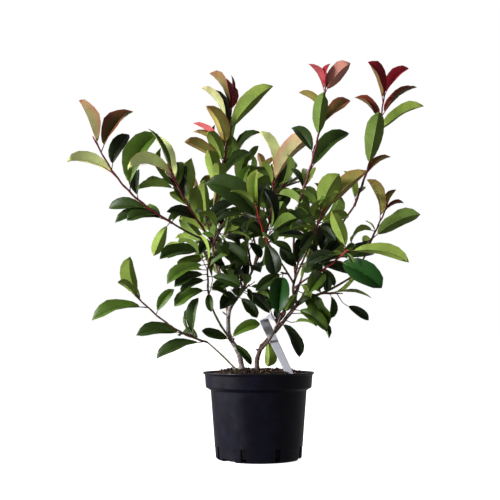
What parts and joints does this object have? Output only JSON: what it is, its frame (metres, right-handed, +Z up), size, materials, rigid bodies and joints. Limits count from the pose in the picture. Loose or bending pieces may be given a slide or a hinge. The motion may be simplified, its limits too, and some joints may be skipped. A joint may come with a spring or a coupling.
{
  "type": "potted photinia",
  "caption": "Young evergreen shrub with several slender stems, glossy oval leaves and red new growth, in a round tapering nursery pot with a plain label.",
  "frame": {"origin": "middle of the pot's flat underside, at the height of the ground that the pot stands on", "axes": "+Z up along the pot's axis, +X to the right and -Y towards the side that the picture shows"},
  "size_m": [0.7261, 0.4993, 0.8384],
  "materials": {
    "pot_plastic": "satin black, moulded",
    "compost": "moist peat and bark",
    "label_plastic": "white, bare",
    "bark": "young bark, grey brown to red",
    "leaf": "glossy above, matt below"
  },
  "bodies": {
    "root": {"pot": "pot_plastic", "compost": "compost", "plant_label": "label_plastic", "stem_low_left": "bark", "trunk_left": "bark", "trunk_right": "bark", "bough_back_left": "bark", "bough_back_middle": "bark", "bough_back_right": "bark", "bough_far_left": "bark", "bough_far_right": "bark", "bough_front": "bark", "bough_left": "bark", "bough_left_high": "bark", "bough_left_thin": "bark", "bough_left_top": "bark", "bough_middle": "bark", "bough_middle_high": "bark", "bough_right": "bark", "bough_right_fork": "bark", "bough_right_front": "bark", "bough_right_high": "bark", "bough_right_inner": "bark", "bough_right_low": "bark", "bough_right_side": "bark", "bough_right_top": "bark", "foliage_back_left": "leaf", "foliage_back_middle": "leaf", "foliage_back_right": "leaf", "foliage_centre": "leaf", "foliage_far_left": "leaf", "foliage_far_right": "leaf", "foliage_foot_left": "leaf", "foliage_foot_right": "leaf", "foliage_fork": "leaf", "foliage_front": "leaf", "foliage_front_low": "leaf", "foliage_heart_fork": "leaf", "foliage_heart_front": "leaf", "foliage_heart_left": "leaf", "foliage_heart_low": "leaf", "foliage_heart_middle": "leaf", "foliage_heart_right": "leaf", "foliage_inner": "leaf", "foliage_left_front": "leaf", "foliage_left_side": "leaf", "foliage_left_thin": "leaf", "foliage_left_top": "leaf", "foliage_low_left": "leaf", "foliage_middle_high": "leaf", "foliage_right_front": "leaf", "foliage_right_high": "leaf", "foliage_right_low": "leaf", "foliage_right_side": "leaf", "foliage_right_top": "leaf", "foliage_under": "leaf"}
  },
  "joints": []
}
